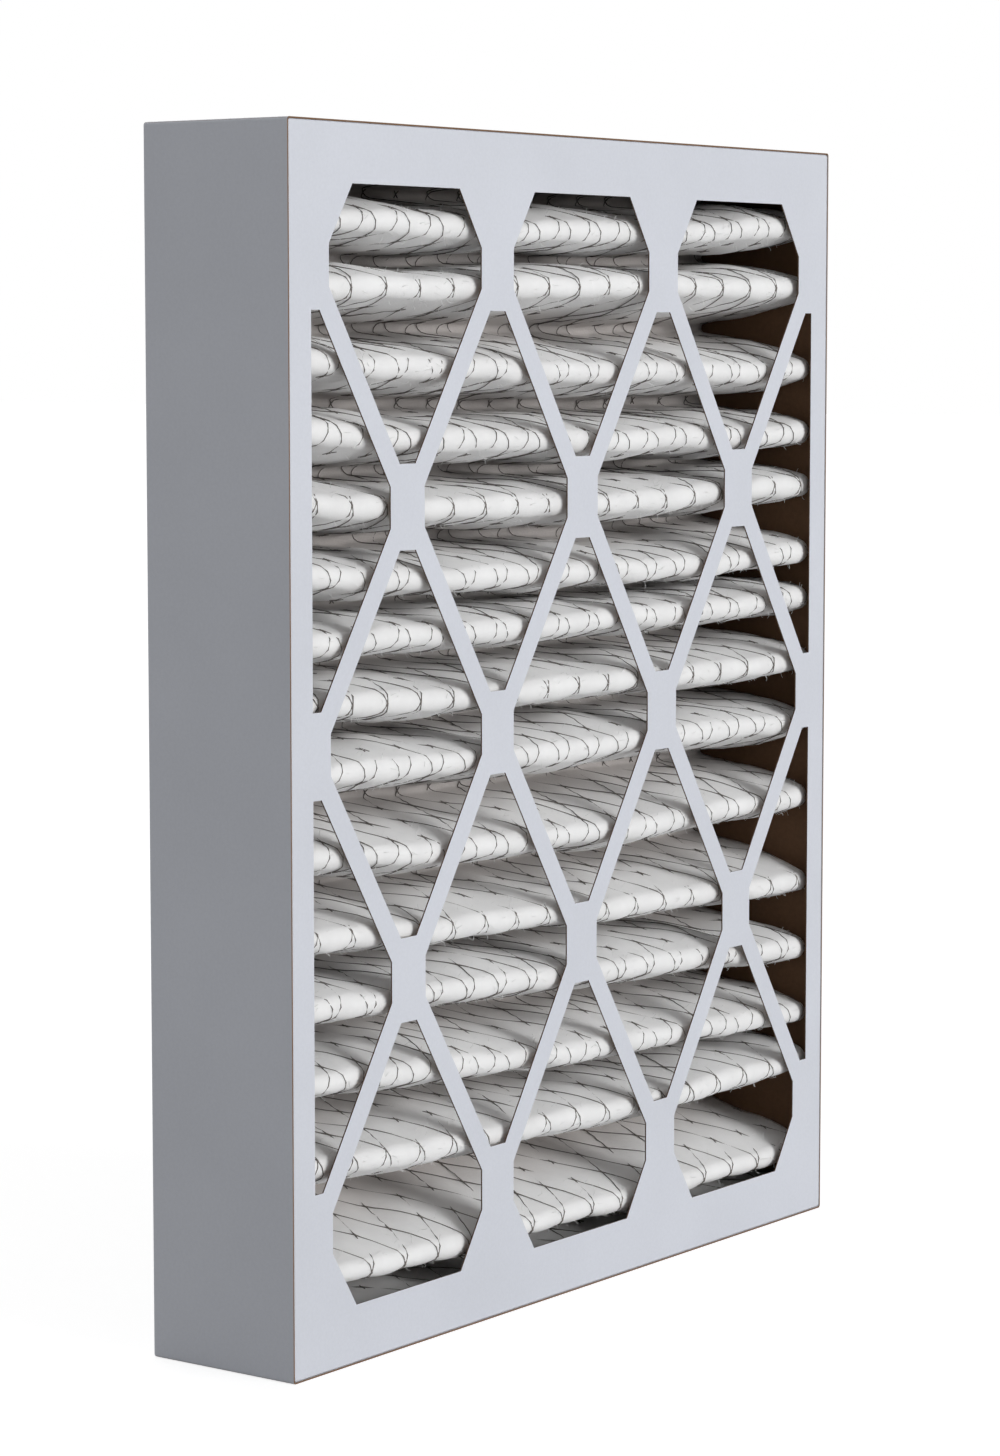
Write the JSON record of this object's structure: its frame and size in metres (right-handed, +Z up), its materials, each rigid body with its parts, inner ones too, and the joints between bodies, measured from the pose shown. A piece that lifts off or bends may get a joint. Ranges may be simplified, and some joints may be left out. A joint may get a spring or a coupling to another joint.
{
  "type": "pleated panel air filter",
  "caption": "Deep-pleated panel air filter for a ventilation duct: wire-backed non-woven pleats in two nested die-cut board trays with diamond grids.",
  "frame": {"origin": "middle of the underside that the filter stands on", "axes": "+X along the width, -Y out of the front grid (the wire-backed side, where air leaves), +Z up along the height"},
  "size_m": [0.4952, 0.092, 0.6223],
  "materials": {
    "board": "clay-coated beverage board, pale cool grey outside, brown kraft inside and at cut edges",
    "media": "lofted white non-woven polyester and cotton",
    "wire": "dull galvanised expanded metal strands"
  },
  "bodies": {
    "root": {"front_tray": "board", "rear_tray": "board", "pleated_media": "media", "wire_backing": "wire"}
  },
  "joints": []
}
